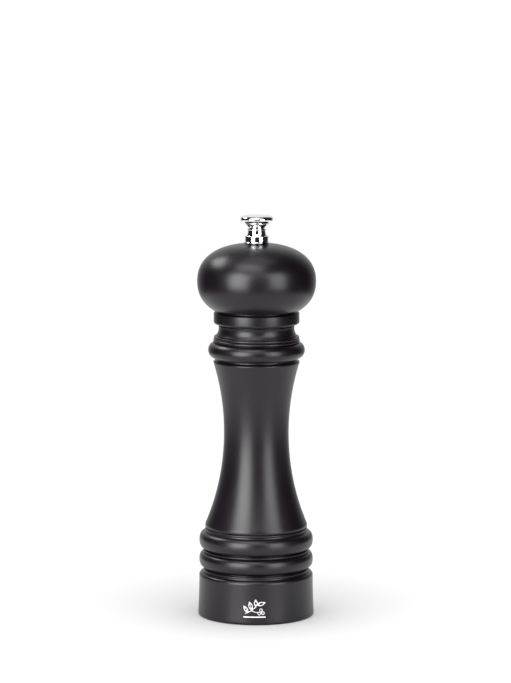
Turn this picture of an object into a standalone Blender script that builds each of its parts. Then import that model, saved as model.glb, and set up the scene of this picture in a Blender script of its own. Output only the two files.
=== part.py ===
"""Wooden pepper mill with a turned body, a turning head and an adjustable steel grinding mechanism.

Metres, +Z up. The origin is the centre of the foot, on the surface the mill stands on, and the
turning axis is Z. Each named object is one physical piece, as it would come apart on a bench.
"""

import math

import bmesh
import bpy
from mathutils import Matrix

MM = 0.001
GAP = 0.3 * MM  # clearance between pieces that touch or run in each other

# Driving dimensions
HEIGHT = 180.5 * MM
HEAD_RADIUS = 26.5 * MM
DRUM_RADIUS = 26.05 * MM
BEAD_RADIUS = 25.56 * MM
WAIST_RADIUS = 14.5 * MM
WAIST_HEIGHT = 83.0 * MM
WAIST_SWEEP = 107.5 * MM  # radius of the one long hollow curve of the waist
BODY_TOP = 137.0 * MM

# Bores of the body, from the foot up
RECESS_RADIUS = 20.6 * MM
RECESS_DEPTH = 8.5 * MM
MECHANISM_RADIUS = 14.8 * MM
BRIDGE_SHOULDER = 20.8 * MM
CHAMBER_RADIUS = 11.0 * MM
CHAMBER_FLOOR = 25.0 * MM
MOUTH_RADIUS = 12.5 * MM
MOUTH_FLOOR = 119.0 * MM

# Head
GLOBE_MIDDLE = 151.0 * MM
GLOBE_HALF_HEIGHT = 16.85 * MM  # from the widest level to the crown
GLOBE_POWER_ACROSS = 2.5  # 2 and 2 would be a plain ellipse; the globe is a little squarer
GLOBE_POWER_UP = 2.25
GLOBE_FOOT_RADIUS = 19.6 * MM
HEAD_SEAT = BODY_TOP + GAP
HEAD_NECK_RADIUS = 17.2 * MM  # the recessed neck that leaves a dark line over the collar
TENON_RADIUS = MOUTH_RADIUS - 0.4 * MM
TENON_BOTTOM = 122.0 * MM
HEAD_BORE = 4.4 * MM
CROWN_FLAT = 6.3 * MM  # radius of the spot face under the knob's washer

# Shaft and its thread, M5 x 0.8
SHAFT_SIDE = 5.0 * MM
SHAFT_SQUARE_TOP = 157.0 * MM
SHAFT_TOP = 173.4 * MM
THREAD_RADIUS = 2.45 * MM
PIN_RADIUS = 1.9 * MM
PIN_BOTTOM = 2.0 * MM
SQUARE_HOLE = SHAFT_SIDE + 2 * GAP

# Grinding set
CASING_RADIUS = MECHANISM_RADIUS - GAP
CASING_BORE = 13.5 * MM
CASING_TOP = 19.0 * MM
STATOR_BOTTOM = 5.6 * MM
STATOR_TOP = 18.7 * MM
STATOR_RADIUS = CASING_BORE - GAP
STATOR_TIP = 11.6 * MM  # tooth tips at the bottom edge
STATOR_MOUTH = 11.3 * MM  # rib tips at the top edge
FLANGE_RADIUS = 20.2 * MM
FLANGE_THICKNESS = 1.6 * MM
GRIND_GAP = 0.4 * MM  # between rotor and stator tips at the rest setting
GRIND_SLOPE = 0.364  # radius lost for each unit of height in the fine teeth
FINE_TOP = 9.2 * MM
ROTOR_TOP = 18.0 * MM
ROTOR_RECESS = 7.9 * MM
FINE_TEETH = 20
TOOTH_COLUMNS = 4  # mesh columns for each fine tooth
TEETH_SEGMENTS = FINE_TEETH * TOOTH_COLUMNS
STATOR_RIBS = 8
ROTOR_FLUTES = 5

# Spring's bridge, seat and retaining bar, all of one strip
STRIP = 1.2 * MM
BRIDGE_FOOT = CASING_TOP + GAP
BRIDGE_TOP = 30.5 * MM
THRUST_THICKNESS = 0.8 * MM
THRUST_BOTTOM = BRIDGE_TOP - STRIP - GAP - THRUST_THICKNESS
BAR_BOTTOM = 1.6 * MM
BAR_END = RECESS_DEPTH - GAP - FLANGE_THICKNESS - GAP  # top of the bar where it meets the flange

# Fasteners
CLIP_BOTTOM = 6.2 * MM
CLIP_THICKNESS = 0.6 * MM
BAR_SCREW_CIRCLE = 18.0 * MM
BAR_SCREW_HOLE = 1.45 * MM
PLATE_THICKNESS = 1.5 * MM
PLATE_RECESS = 10.8 * MM  # radius of the pocket that takes the plate
PLATE_SCREW_CIRCLE = 7.4 * MM
PLATE_SCREW_HOLE = 1.25 * MM
SCREW_SLOT = 0.5 * MM

WOOD_SEGMENTS = 32
METAL_SEGMENTS = 24
SMOOTH_ANGLE = math.radians(35)


# ---------------------------------------------------------------- scene and materials


def clear_scene():
    for ob in list(bpy.data.objects):
        bpy.data.objects.remove(ob, do_unlink=True)


def new_collection(name):
    collection = bpy.data.collections.new(name)
    bpy.context.scene.collection.children.link(collection)
    return collection


def new_material(name, colour, roughness, metallic):
    material = bpy.data.materials.new(name)
    material.use_nodes = True
    shader = material.node_tree.nodes["Principled BSDF"]
    shader.inputs["Base Color"].default_value = (*colour, 1.0)
    shader.inputs["Roughness"].default_value = roughness
    shader.inputs["Metallic"].default_value = metallic
    return material


def black_lacquer(name):
    return new_material(name, (0.018, 0.017, 0.019), 0.38, 0.0)


def chrome(name):
    return new_material(name, (0.88, 0.88, 0.90), 0.06, 1.0)


def steel(name):
    return new_material(name, (0.52, 0.52, 0.54), 0.32, 1.0)


def hardened_steel(name):
    return new_material(name, (0.33, 0.33, 0.35), 0.42, 1.0)


def zinc_plate(name):
    return new_material(name, (0.62, 0.63, 0.64), 0.36, 1.0)


# ---------------------------------------------------------------- outlines, as lists of (radius, height)


def arc(start, end, bulge, steps):
    """Points from start to end on a circular arc; bulge is its rise to the left of the way there."""
    chord_r, chord_z = end[0] - start[0], end[1] - start[1]
    chord = math.hypot(chord_r, chord_z)
    radius = (chord**2 / 4 + bulge**2) / (2 * abs(bulge))
    side = math.copysign(1.0, bulge)
    offset = side * (radius - abs(bulge))
    left_r, left_z = -chord_z / chord, chord_r / chord
    centre_r = (start[0] + end[0]) / 2 - offset * left_r
    centre_z = (start[1] + end[1]) / 2 - offset * left_z
    first = math.atan2(start[1] - centre_z, start[0] - centre_r)
    sweep = 2 * math.asin(min(1.0, chord / (2 * radius)))
    if abs(bulge) > chord / 2:
        sweep = 2 * math.pi - sweep
    points = []
    for i in range(steps + 1):
        angle = first - side * sweep * i / steps
        points.append((centre_r + radius * math.cos(angle), centre_z + radius * math.sin(angle)))
    return points


def bead(radius, middle, half_height, depth, steps, power=2.0):
    """A half-round that stands out to radius, from its top to its bottom; power 2 is an ellipse."""
    points = []
    for i in range(steps + 1):
        angle = math.pi / 2 - math.pi * i / steps
        out = max(math.cos(angle), 0.0) ** (2 / power)
        up = math.copysign(abs(math.sin(angle)) ** (2 / power), angle)
        points.append((radius - depth + depth * out, middle + half_height * up))
    return points


def fillet(radius, top):
    """A deep groove, and under it the narrow round-edged ring that tops the next swelling."""
    groove = radius - 1.4 * MM
    edge = arc((radius - 0.15 * MM, top), (radius, top - 0.75 * MM), 0.15 * MM, 2)
    edge += [(radius - 0.3 * MM, top - 0.9 * MM)]
    return [(groove, top + 0.4 * MM), (groove, top + 0.05 * MM)] + edge


def waist(top, bottom, steps):
    """The long hollow curve between two heights."""
    points = []
    for i in range(steps + 1):
        z = top + (bottom - top) * i / steps
        rise = WAIST_SWEEP - math.sqrt(WAIST_SWEEP**2 - (z - WAIST_HEIGHT) ** 2)
        points.append((WAIST_RADIUS + rise, z))
    return points


def globe(top_radius, bottom_radius, steps):
    """The head's squarish globe, from a radius near its crown to a radius near its foot."""
    first = math.acos((top_radius / HEAD_RADIUS) ** (GLOBE_POWER_ACROSS / 2))
    last = -math.acos((bottom_radius / HEAD_RADIUS) ** (GLOBE_POWER_ACROSS / 2))
    points = []
    for i in range(steps + 1):
        angle = first + (last - first) * i / steps
        r = HEAD_RADIUS * math.cos(angle) ** (2 / GLOBE_POWER_ACROSS)
        rise = math.copysign(abs(math.sin(angle)) ** (2 / GLOBE_POWER_UP), angle)
        points.append((r, GLOBE_MIDDLE + GLOBE_HALF_HEIGHT * rise))
    return points


def body_outline():
    """The outer side from the mouth down to the foot, then the bores from the foot back up."""
    collar = arc((18.85 * MM, BODY_TOP), (19.1 * MM, 136.72 * MM), 0.05 * MM, 2)
    collar += arc((19.15 * MM, 133.0 * MM), (18.1 * MM, 131.9 * MM), 0.3 * MM, 3)
    collar += [(16.5 * MM, 131.65 * MM), (16.5 * MM, 131.3 * MM)]
    cove = arc((17.0 * MM, 131.15 * MM), (17.95 * MM, 126.8 * MM), -0.48 * MM, 6)
    quirk = [(17.8 * MM, 126.45 * MM)]
    quirk += arc((18.75 * MM, 126.35 * MM), (18.95 * MM, 125.3 * MM), 0.25 * MM, 3)
    quirk += [(18.7 * MM, 125.15 * MM)]
    quirk += arc((19.0 * MM, 125.0 * MM), (19.2 * MM, 123.95 * MM), 0.25 * MM, 3)
    quirk += [(18.5 * MM, 123.75 * MM)]
    big_bead = bead(21.58 * MM, 120.1 * MM, 3.45 * MM, 2.9 * MM, 8)
    lip = [(18.0 * MM, 116.45 * MM), (18.0 * MM, 115.95 * MM)]
    lip += arc((18.35 * MM, 115.5 * MM), (19.2 * MM, 114.95 * MM), 0.12 * MM, 2)
    sweep = waist(114.6 * MM, 41.7 * MM, 10)
    step = arc((22.88 * MM, 41.2 * MM), (22.86 * MM, 40.1 * MM), 0.06 * MM, 2)
    upper_bead = fillet(22.85 * MM, 39.65 * MM)
    upper_bead += bead(BEAD_RADIUS, 34.2 * MM, 3.9 * MM, 2.9 * MM, 8, power=2.3)
    lower_bead = fillet(23.7 * MM, 29.85 * MM)
    lower_bead += bead(BEAD_RADIUS, 25.4 * MM, 3.36 * MM, 2.3 * MM, 8, power=2.3)
    drum = fillet(23.65 * MM, 21.1 * MM)
    drum += arc((23.6 * MM, 19.62 * MM), (25.55 * MM, 17.8 * MM), 0.66 * MM, 4)
    drum += arc((25.62 * MM, 12.0 * MM), (DRUM_RADIUS, 1.3 * MM), -0.05 * MM, 2)
    foot = arc((26.0 * MM, 0.7 * MM), (25.2 * MM, 0.0), 0.2 * MM, 3)
    bores = [
        (RECESS_RADIUS + 0.4 * MM, 0.0),
        (RECESS_RADIUS, 0.4 * MM),
        (RECESS_RADIUS, RECESS_DEPTH),
        (MECHANISM_RADIUS, RECESS_DEPTH),
        (MECHANISM_RADIUS, BRIDGE_SHOULDER),
        (CHAMBER_RADIUS + 1.6 * MM, BRIDGE_SHOULDER),
        (CHAMBER_RADIUS, CHAMBER_FLOOR),
        (CHAMBER_RADIUS, MOUTH_FLOOR),
        (MOUTH_RADIUS, MOUTH_FLOOR),
        (MOUTH_RADIUS, BODY_TOP - 0.6 * MM),
        (MOUTH_RADIUS + 0.6 * MM, BODY_TOP),
    ]
    turned = collar + cove + quirk + big_bead + lip + sweep + step
    return turned + upper_bead + lower_bead + drum + foot + bores


def head_outline():
    """The globe from its crown down to its seat, the tenon, and the bore back up."""
    crown = globe(CROWN_FLAT, GLOBE_FOOT_RADIUS, 26)
    neck = [(HEAD_NECK_RADIUS, crown[-1][1] + 0.1 * MM), (HEAD_NECK_RADIUS, HEAD_SEAT)]
    tenon = [
        (TENON_RADIUS, HEAD_SEAT),
        (TENON_RADIUS, TENON_BOTTOM + 0.6 * MM),
        (TENON_RADIUS - 0.6 * MM, TENON_BOTTOM),
        (PLATE_RECESS, TENON_BOTTOM),
        (PLATE_RECESS, TENON_BOTTOM + PLATE_THICKNESS + GAP),
        (HEAD_BORE, TENON_BOTTOM + PLATE_THICKNESS + GAP),
    ]
    return [(HEAD_BORE, crown[0][1])] + crown + neck + tenon


def knob_outline():
    """The mushroom top, the cone under it, the ring, the neck, the base and the blind threaded bore."""
    bore = THREAD_RADIUS + 0.25 * MM
    base = KNOB_BASE
    cap = arc((0.0, HEIGHT), (4.9 * MM, HEIGHT - 0.17 * MM), 0.04 * MM, 2)
    rim = bead(7.32 * MM, HEIGHT - 1.5 * MM, 1.28 * MM, 1.9 * MM, 8)[:5]
    under_rim = bead(7.32 * MM, HEIGHT - 1.5 * MM, 1.95 * MM, 2.1 * MM, 8)[5:]
    cone = [(5.05 * MM, HEIGHT - 3.6 * MM)]
    cone += arc((5.45 * MM, HEIGHT - 3.8 * MM), (3.5 * MM, HEIGHT - 5.75 * MM), 0.08 * MM, 3)
    ring = [(3.35 * MM, HEIGHT - 5.9 * MM)] + bead(4.25 * MM, HEIGHT - 6.3 * MM, 0.33 * MM, 0.35 * MM, 4)
    neck = arc((3.95 * MM, HEIGHT - 6.8 * MM), (4.5 * MM, HEIGHT - 9.1 * MM), -0.18 * MM, 4)
    foot = arc((4.95 * MM, HEIGHT - 9.15 * MM), (5.25 * MM, HEIGHT - 9.45 * MM), 0.09 * MM, 2)
    foot += [(5.25 * MM, base + 0.15 * MM), (5.1 * MM, base)]
    inside = [
        (bore + 0.4 * MM, base),
        (bore, base + 0.4 * MM),
        (bore, HEIGHT - 4.5 * MM),
        (0.0, HEIGHT - 3.7 * MM),
    ]
    return cap + rim + under_rim + cone + ring + neck + foot + inside


WASHER_FOOT = globe(CROWN_FLAT, GLOBE_FOOT_RADIUS, 1)[0][1] + GAP
WASHER_TOP = WASHER_FOOT + 0.6 * MM
KNOB_BASE = WASHER_TOP + GAP


# ---------------------------------------------------------------- ways of making a piece


def add_object(name, mesh, collection, material=None):
    ob = bpy.data.objects.new(name, mesh)
    collection.objects.link(ob)
    if material:
        mesh.materials.append(material)
    return ob


def smooth(ob):
    ob.data.shade_smooth()
    ob.data.set_sharp_from_angle(angle=SMOOTH_ANGLE)


def turned(name, outline, collection, material=None, segments=METAL_SEGMENTS, closed=True):
    """An outline in the XZ plane turned round Z by a Screw modifier; open outlines end on the axis."""
    mesh = bpy.data.meshes.new(name)
    last = len(outline) - 1
    edges = [(i, i + 1) for i in range(last)]
    if closed:
        edges.append((last, 0))
    mesh.from_pydata([(r, 0.0, z) for r, z in outline], edges, [])
    ob = add_object(name, mesh, collection, material)
    screw = ob.modifiers.new("turning", "SCREW")
    screw.steps = segments
    screw.render_steps = segments
    screw.use_merge_vertices = True
    screw.merge_threshold = 0.00001
    screw.use_smooth_shade = True
    return ob


def flat_outline(name, points, thickness, collection, material=None, holes=()):
    """A flat outline in XY, filled and given its thickness, centred on its own plane."""
    curve = bpy.data.curves.new(name, "CURVE")
    curve.dimensions = "2D"
    curve.fill_mode = "BOTH"
    curve.extrude = thickness / 2
    for loop in (points, *holes):
        spline = curve.splines.new("POLY")
        spline.points.add(len(loop) - 1)
        spline.use_cyclic_u = True
        for point, (x, y) in zip(spline.points, loop):
            point.co = (x, y, 0.0, 1.0)
    ob = bpy.data.objects.new(name, curve)
    collection.objects.link(ob)
    if material:
        curve.materials.append(material)
    return ob


def made_mesh(ob):
    """The object as a plain mesh with its modifiers applied and its caps welded."""
    bpy.context.view_layer.update()
    evaluated = ob.evaluated_get(bpy.context.evaluated_depsgraph_get())
    mesh = bpy.data.meshes.new_from_object(evaluated)
    mesh.transform(ob.matrix_world)
    weld = bmesh.new()
    weld.from_mesh(mesh)
    bmesh.ops.remove_doubles(weld, verts=weld.verts, dist=0.000001)
    weld.to_mesh(mesh)
    weld.free()
    name, collection = ob.name, ob.users_collection[0]
    bpy.data.objects.remove(ob, do_unlink=True)
    mesh.name = name
    return add_object(name, mesh, collection)


def circle(radius, segments, start=0.0, sweep=2 * math.pi):
    """Points round the axis; a part circle keeps both its ends."""
    count = segments if sweep >= 2 * math.pi else segments + 1
    angles = [start + sweep * i / segments for i in range(count)]
    return [(radius * math.cos(angle), radius * math.sin(angle)) for angle in angles]


def cutter_cylinder(name, radius, low, high, x=0.0, segments=METAL_SEGMENTS):
    mesh = bpy.data.meshes.new(name)
    shape = bmesh.new()
    bmesh.ops.create_cone(
        shape, cap_ends=True, segments=segments, radius1=radius, radius2=radius, depth=high - low
    )
    shape.to_mesh(mesh)
    shape.free()
    ob = add_object(name, mesh, CUTTERS)
    ob.location = (x, 0.0, (low + high) / 2)
    return hidden(ob)


def box_mesh(name, size_x, size_y, size_z):
    mesh = bpy.data.meshes.new(name)
    shape = bmesh.new()
    bmesh.ops.create_cube(shape, size=1.0, matrix=Matrix.Diagonal((size_x, size_y, size_z, 1.0)))
    shape.to_mesh(mesh)
    shape.free()
    return mesh


def cutter_box(name, size_x, size_y, low, high, x=0.0):
    ob = add_object(name, box_mesh(name, size_x, size_y, high - low), CUTTERS)
    ob.location = (x, 0.0, (low + high) / 2)
    return hidden(ob)


def hidden(ob):
    ob.hide_render = True
    ob.display_type = "WIRE"
    return ob


def boolean(ob, tool, operation="DIFFERENCE"):
    modifier = ob.modifiers.new(tool.name, "BOOLEAN")
    modifier.operation = operation
    modifier.solver = "EXACT"
    modifier.object = tool
    return ob


# ---------------------------------------------------------------- wooden pieces


def make_body():
    body = turned("body", body_outline(), PARTS, black_lacquer("body_lacquer"), WOOD_SEGMENTS)
    for side, x in enumerate((BAR_SCREW_CIRCLE, -BAR_SCREW_CIRCLE), start=1):
        low, high = RECESS_DEPTH - 1 * MM, 18.5 * MM
        pilot = cutter_cylinder(f"bar_pilot_{side}", BAR_SCREW_HOLE, low, high, x, segments=12)
        boolean(body, pilot)


def make_head():
    head = turned("head", head_outline(), PARTS, black_lacquer("head_lacquer"), WOOD_SEGMENTS)
    for side, x in enumerate((PLATE_SCREW_CIRCLE, -PLATE_SCREW_CIRCLE), start=1):
        low, high = TENON_BOTTOM + 1 * MM, TENON_BOTTOM + 9 * MM
        pilot = cutter_cylinder(f"plate_pilot_{side}", PLATE_SCREW_HOLE, low, high, x, segments=12)
        boolean(head, pilot)


# ---------------------------------------------------------------- knob, washer and shaft


def make_knob():
    turned("adjusting_knob", knob_outline(), PARTS, chrome("knob_chrome"), closed=False)


def make_knob_washer():
    """A flanged bush: its collar lines the top of the head's bore, its flange carries the knob.

    The flange's edge is undercut, so that it throws a dark line round the knob's foot.
    """
    bore, collar, bottom = 3.1 * MM, HEAD_BORE - GAP, 162.0 * MM
    outline = [
        (5.6 * MM, WASHER_TOP),
        (5.7 * MM, WASHER_TOP - 0.1 * MM),
        (5.3 * MM, WASHER_FOOT),
        (collar, WASHER_FOOT),
        (collar, bottom),
        (bore, bottom),
        (bore, WASHER_TOP),
    ]
    turned("knob_washer", outline, PARTS, chrome("washer_chrome"))


def make_shaft():
    """A square rod with a threaded upper end and a round lower pin grooved for its clip."""
    square = add_object(
        "shaft",
        box_mesh("shaft", SHAFT_SIDE, SHAFT_SIDE, SHAFT_SQUARE_TOP - ROTOR_RECESS),
        PARTS,
        steel("shaft_steel"),
    )
    square.location.z = (SHAFT_SQUARE_TOP + ROTOR_RECESS) / 2
    thread = [
        (0.0, SHAFT_TOP),
        (THREAD_RADIUS - 0.5 * MM, SHAFT_TOP),
        (THREAD_RADIUS, SHAFT_TOP - 0.5 * MM),
        (THREAD_RADIUS, SHAFT_SQUARE_TOP - 1 * MM),
        (0.0, SHAFT_SQUARE_TOP - 1 * MM),
    ]
    groove = PIN_RADIUS - 0.5 * MM
    pin = [
        (0.0, ROTOR_RECESS + 1 * MM),
        (PIN_RADIUS, ROTOR_RECESS + 1 * MM),
        (PIN_RADIUS, CLIP_BOTTOM + CLIP_THICKNESS + GAP),
        (groove, CLIP_BOTTOM + CLIP_THICKNESS + GAP),
        (groove, CLIP_BOTTOM - GAP),
        (PIN_RADIUS, CLIP_BOTTOM - GAP),
        (PIN_RADIUS, PIN_BOTTOM + 0.4 * MM),
        (PIN_RADIUS - 0.4 * MM, PIN_BOTTOM),
        (0.0, PIN_BOTTOM),
    ]
    for name, outline in (("shaft_thread", thread), ("shaft_pin", pin)):
        boolean(square, hidden(turned(name, outline, CUTTERS, segments=20, closed=False)), "UNION")


# ---------------------------------------------------------------- drive plate


def make_drive_plate():
    """The plate in the tenon whose square hole turns the shaft."""
    radius = PLATE_RECESS - GAP
    top = TENON_BOTTOM + PLATE_THICKNESS
    outline = [(0.0, top), (radius, top), (radius, TENON_BOTTOM), (0.0, TENON_BOTTOM)]
    plate = turned("drive_plate", outline, PARTS, zinc_plate("plate_zinc"), closed=False)
    low, high = TENON_BOTTOM - 1 * MM, top + 1 * MM
    boolean(plate, cutter_box("plate_square", SQUARE_HOLE, SQUARE_HOLE, low, high))
    for side, x in enumerate((PLATE_SCREW_CIRCLE, -PLATE_SCREW_CIRCLE), start=1):
        boolean(plate, cutter_cylinder(f"plate_hole_{side}", PLATE_SCREW_HOLE, low, high, x, segments=16))


def make_screw(name, x, seat, length, shank, head_radius, head_height, material):
    """A round-headed wood screw driven upwards, with a slot across its head."""
    outline = [
        (0.0, seat + length),
        (shank, seat + length - 2 * shank),
        (shank, seat),
        (head_radius, seat),
        (head_radius, seat - 0.35 * head_height),
    ]
    outline += arc(
        (head_radius * 0.97, seat - 0.45 * head_height), (0.0, seat - head_height), 0.12 * head_height, 3
    )
    screw = turned(name, outline, PARTS, material, segments=16, closed=False)
    screw.location.x = x
    slot_depth = 0.5 * head_height
    low, high = seat - 2 * head_height, seat - head_height + slot_depth
    boolean(screw, cutter_box(f"{name}_slot", 4 * head_radius, SCREW_SLOT, low, high, x))


def make_plate_screws():
    for side, x in enumerate((PLATE_SCREW_CIRCLE, -PLATE_SCREW_CIRCLE), start=1):
        make_screw(
            f"plate_screw_{side}",
            x,
            TENON_BOTTOM - GAP,
            7.5 * MM,
            0.95 * MM,
            1.9 * MM,
            1.1 * MM,
            steel(f"plate_screw_{side}_steel"),
        )


# ---------------------------------------------------------------- grinding set


def triangle_wave(turns):
    """From 0 at a tip to 1 halfway to the next tip."""
    return 1.0 - abs(1.0 - 2.0 * (turns % 1.0))


def cut_teeth(ob, deepen, twist, low, high, is_toothed):
    """Pushes the toothed columns in or out and turns each level, which makes the teeth helical."""
    for vertex in ob.data.vertices:
        x, y, z = vertex.co
        radius = math.hypot(x, y)
        if not is_toothed(radius, z):
            continue
        column = round(math.atan2(y, x) / (2 * math.pi) * TEETH_SEGMENTS) % TEETH_SEGMENTS
        share = column / TEETH_SEGMENTS
        height = min(max((z - low) / (high - low), 0.0), 1.0)
        angle = 2 * math.pi * share + twist * height
        radius += deepen(share, z)
        vertex.co = (radius * math.cos(angle), radius * math.sin(angle), z)


def stator_tip(z):
    """Radius of the fixed ring's tooth tips: it closes in to the fine teeth and opens above them."""
    if z <= FINE_TOP:
        return STATOR_TIP - (z - STATOR_BOTTOM) * GRIND_SLOPE
    narrow = STATOR_TIP - (FINE_TOP - STATOR_BOTTOM) * GRIND_SLOPE
    return narrow + (STATOR_MOUTH - narrow) * (z - FINE_TOP) / (STATOR_TOP - FINE_TOP)


def make_stator_casing():
    """The plain sleeve round the stator, with the flange that is screwed to the body's floor."""
    flange_top = RECESS_DEPTH - GAP
    flange_bottom = flange_top - FLANGE_THICKNESS
    outline = [
        (CASING_RADIUS, CASING_TOP),
        (CASING_RADIUS, flange_top),
        (FLANGE_RADIUS, flange_top),
        (FLANGE_RADIUS, flange_bottom),
        (CASING_BORE, flange_bottom),
        (CASING_BORE, CASING_TOP),
    ]
    casing = turned("stator_casing", outline, PARTS, zinc_plate("casing_zinc"), WOOD_SEGMENTS)
    for side, x in enumerate((BAR_SCREW_CIRCLE, -BAR_SCREW_CIRCLE), start=1):
        low, high = flange_bottom - 1 * MM, flange_top + 1 * MM
        hole = cutter_cylinder(f"flange_hole_{side}", BAR_SCREW_HOLE, low, high, x, segments=16)
        boolean(casing, hole)


def make_stator():
    """The fixed ring: coarse helical ribs feed the corns down to the fine teeth at its lower edge."""
    levels = [STATOR_BOTTOM, 7.4 * MM, FINE_TOP, 10.4 * MM, 13.0 * MM, 16.0 * MM, STATOR_TOP]
    outline = [(STATOR_RADIUS, STATOR_TOP), (STATOR_RADIUS, STATOR_BOTTOM)]
    outline += [(stator_tip(z), z) for z in levels]
    plain = turned("stator", outline, PARTS, hardened_steel("stator_steel"), TEETH_SEGMENTS)
    stator = made_mesh(plain)

    def deepen(share, z):
        if z <= FINE_TOP:
            return 0.9 * MM * triangle_wave(share * FINE_TEETH)
        return 1.1 * MM * triangle_wave(share * STATOR_RIBS)

    def is_toothed(radius, z):
        return radius < STATOR_RADIUS - 1 * MM

    cut_teeth(stator, deepen, math.radians(26), STATOR_BOTTOM, STATOR_TOP, is_toothed)
    smooth(stator)


def rotor_tip(z):
    """Radius of the turning cone's tooth tips."""
    if z <= FINE_TOP:
        return STATOR_TIP - GRIND_GAP - (z - STATOR_BOTTOM) * GRIND_SLOPE
    wide = STATOR_TIP - GRIND_GAP - (FINE_TOP - STATOR_BOTTOM) * GRIND_SLOPE
    rise = (z - FINE_TOP) / (ROTOR_TOP - FINE_TOP)
    return wide + (6.6 * MM - wide) * rise**0.8


def make_rotor():
    """The turning cone: deep helical flutes above, fine teeth below, a square hole for the shaft."""
    levels = [17.4 * MM, 15.4 * MM, 13.2 * MM, 11.2 * MM, 10.0 * MM, FINE_TOP, 7.4 * MM, 5.9 * MM]
    recess = 5.2 * MM
    outline = [(0.0, ROTOR_TOP), (5.6 * MM, ROTOR_TOP)]
    outline += [(rotor_tip(z), z) for z in levels]
    outline += [
        (9.9 * MM, STATOR_BOTTOM),
        (recess, STATOR_BOTTOM),
        (recess, ROTOR_RECESS),
        (0.0, ROTOR_RECESS),
    ]
    plain = turned("rotor", outline, PARTS, hardened_steel("rotor_steel"), TEETH_SEGMENTS, closed=False)
    rotor = made_mesh(plain)

    def deepen(share, z):
        if z <= FINE_TOP:
            return -0.9 * MM * triangle_wave(share * FINE_TEETH)
        flute = 1.0 if z < 16.5 * MM else 0.5
        return -flute * 2.3 * MM * triangle_wave(share * ROTOR_FLUTES)

    def is_toothed(radius, z):
        return radius > 5.8 * MM and 5.8 * MM < z < ROTOR_TOP - 0.1 * MM

    cut_teeth(rotor, deepen, math.radians(-50), STATOR_BOTTOM, ROTOR_TOP, is_toothed)
    smooth(rotor)
    boolean(
        rotor,
        cutter_box("rotor_square", SQUARE_HOLE, SQUARE_HOLE, ROTOR_RECESS - 1 * MM, ROTOR_TOP + 1 * MM),
    )


def make_rotor_washer():
    low, high = CLIP_BOTTOM + CLIP_THICKNESS + GAP, ROTOR_RECESS - GAP
    bore, radius = PIN_RADIUS + GAP, 4.6 * MM
    outline = [(radius, high), (radius, low), (bore, low), (bore, high)]
    turned("rotor_washer", outline, PARTS, steel("rotor_washer_steel"), segments=24)


def make_retaining_clip():
    """An open ring that snaps into the groove of the shaft's pin."""
    inner, outer, opening = PIN_RADIUS - 0.2 * MM, 3.6 * MM, math.radians(50)
    sweep = 2 * math.pi - opening
    outline = circle(outer, 20, start=opening / 2, sweep=sweep)
    outline += reversed(circle(inner, 20, start=opening / 2, sweep=sweep))
    clip = flat_outline(
        "retaining_clip", outline, CLIP_THICKNESS, PARTS, steel("retaining_clip_steel")
    )
    clip.location.z = CLIP_BOTTOM + CLIP_THICKNESS / 2
    made_mesh(clip)


# ---------------------------------------------------------------- bridge, spring and retaining bar


def strip(name, outline, width, material):
    """A bent strip: its side outline in XZ, extruded across Y."""
    ob = flat_outline(name, outline, width, PARTS, material)
    ob.rotation_euler.x = math.pi / 2
    return made_mesh(ob)


def make_upper_bridge():
    """A stamped strip on a ring over the stator: the shaft turns in it and the spring ends under it."""
    leg_out, foot_out = 10.3 * MM, 13.6 * MM
    leg_in = leg_out - STRIP
    low, top = BRIDGE_FOOT, BRIDGE_TOP
    bend = 1.6 * MM
    half = [
        (foot_out, low),
        (foot_out, low + STRIP),
        (leg_out, low + STRIP),
        (leg_out, top - bend),
        (leg_out - bend, top),
    ]
    inside = [
        (leg_in - bend, top - STRIP),
        (leg_in, top - STRIP - bend),
        (leg_in, low),
    ]
    outline = half + [(-x, z) for x, z in reversed(half)]
    outline += [(-x, z) for x, z in reversed(inside)] + inside
    bridge = strip("upper_bridge", outline, 6.0 * MM, zinc_plate("bridge_zinc"))
    inner, outer = 12.6 * MM, MECHANISM_RADIUS - GAP
    ring = [(outer, low + STRIP), (outer, low), (inner, low), (inner, low + STRIP)]
    boolean(bridge, hidden(turned("bridge_ring", ring, CUTTERS, segments=32)), "UNION")
    boolean(bridge, cutter_cylinder("bridge_hole", 3.95 * MM, top - 3 * MM, top + 1 * MM))


def make_thrust_washer():
    radius = 6.0 * MM
    outline = circle(radius, METAL_SEGMENTS)
    half = SQUARE_HOLE / 2
    square = [(half, half), (-half, half), (-half, -half), (half, -half)]
    washer = flat_outline(
        "thrust_washer", outline, THRUST_THICKNESS, PARTS, steel("thrust_washer_steel"), holes=(square,)
    )
    washer.location.z = THRUST_BOTTOM + THRUST_THICKNESS / 2
    made_mesh(washer)


def make_spring():
    """A round-wire compression spring with its end turns closed, between the washer and the rotor."""
    wire, mean, turns, steps = 0.5 * MM, 4.45 * MM, 5.5, 12
    low, high = ROTOR_TOP + GAP + wire, THRUST_BOTTOM - GAP - wire
    closed = 0.14  # share of the coil, at each end, that lies nearly flat
    curve = bpy.data.curves.new("spring", "CURVE")
    curve.dimensions = "3D"
    curve.bevel_depth = wire
    curve.bevel_resolution = 2
    curve.use_fill_caps = True
    spline = curve.splines.new("POLY")
    count = int(turns * steps) + 1
    spline.points.add(count - 1)
    for i, point in enumerate(spline.points):
        share = i / (count - 1)
        angle = 2 * math.pi * turns * share
        flat_rise = 2.1 * wire * turns * share
        open_share = min(max((share - closed) / (1 - 2 * closed), 0.0), 1.0)
        open_rise = (high - low - 2.1 * wire * turns) * open_share
        z = low + flat_rise + open_rise
        point.co = (mean * math.cos(angle), mean * math.sin(angle), z, 1.0)
    ob = bpy.data.objects.new("spring", curve)
    PARTS.objects.link(ob)
    curve.materials.append(steel("spring_steel"))
    smooth(made_mesh(ob))


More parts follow.
